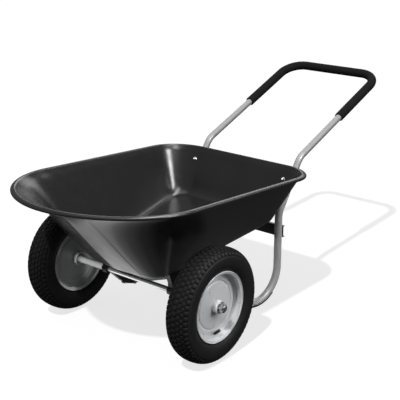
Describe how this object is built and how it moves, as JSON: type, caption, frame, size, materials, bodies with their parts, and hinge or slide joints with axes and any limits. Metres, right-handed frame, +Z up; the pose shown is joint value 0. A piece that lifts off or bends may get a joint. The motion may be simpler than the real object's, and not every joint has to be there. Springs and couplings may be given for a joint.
{
  "type": "two wheel wheelbarrow",
  "caption": "Wheelbarrow with a deep black moulded tray on a bent steel tube frame, a loop push handle with a foam grip, rear stand legs and free-turning pneumatic wheels",
  "frame": {"origin": "on the ground under the middle of the whole cart's bounding box", "axes": "+X to the left of a person at the handle, +Y from the tray's nose back to the handle, +Z up"},
  "size_m": [0.6586, 1.4654, 0.6581],
  "materials": {
    "tray_plastic": "satin moulded",
    "silver_paint": "satin silver powder coat",
    "wheel_paint": "gloss silver enamel",
    "black_paint": "satin black",
    "zinc_steel": "bright zinc plate",
    "tyre_rubber": "matt",
    "soft_rubber": "matt",
    "foam": "fine foam skin",
    "black_plastic": "moulded"
  },
  "bodies": {
    "cart": {"tray": "tray_plastic", "handle_tube": "silver_paint", "handle_grip": "foam", "leg_left": "silver_paint", "leg_right": "silver_paint", "foot_pad_left": "black_plastic", "foot_pad_right": "black_plastic", "cross_brace": "black_paint", "axle": "zinc_steel", "axle_bracket_left": "black_paint", "axle_bracket_right": "black_paint", "spacer_left": "silver_paint", "spacer_right": "silver_paint", "axle_washers": "zinc_steel", "axle_nuts": "zinc_steel", "wall_bolts": "zinc_steel", "wall_spacers": "black_plastic", "wall_nuts": "zinc_steel", "floor_bolts": "zinc_steel", "floor_nuts": "zinc_steel", "rail_bolts": "zinc_steel", "rail_nuts": "zinc_steel", "brace_bolts": "zinc_steel", "brace_nuts": "zinc_steel"},
    "wheel_left": {"tyre_left": "tyre_rubber", "inner_tube_left": "soft_rubber", "rim_left": "wheel_paint", "hub_left": "wheel_paint", "bearing_outer_left": "zinc_steel", "bearing_inner_left": "zinc_steel", "valve_stem_left": "soft_rubber", "valve_cap_left": "soft_rubber"},
    "wheel_right": {"tyre_right": "tyre_rubber", "inner_tube_right": "soft_rubber", "rim_right": "wheel_paint", "hub_right": "wheel_paint", "bearing_outer_right": "zinc_steel", "bearing_inner_right": "zinc_steel", "valve_stem_right": "soft_rubber", "valve_cap_right": "soft_rubber"}
  },
  "joints": [
    {"name": "wheel_left_spin", "type": "hinge", "parent": "cart", "child": "wheel_left", "pos_m": [0.2815, -0.35475, 0.17], "axis": [1, 0, 0], "continuous": true},
    {"name": "wheel_right_spin", "type": "hinge", "parent": "cart", "child": "wheel_right", "pos_m": [-0.2815, -0.35475, 0.17], "axis": [1, 0, 0], "continuous": true}
  ]
}
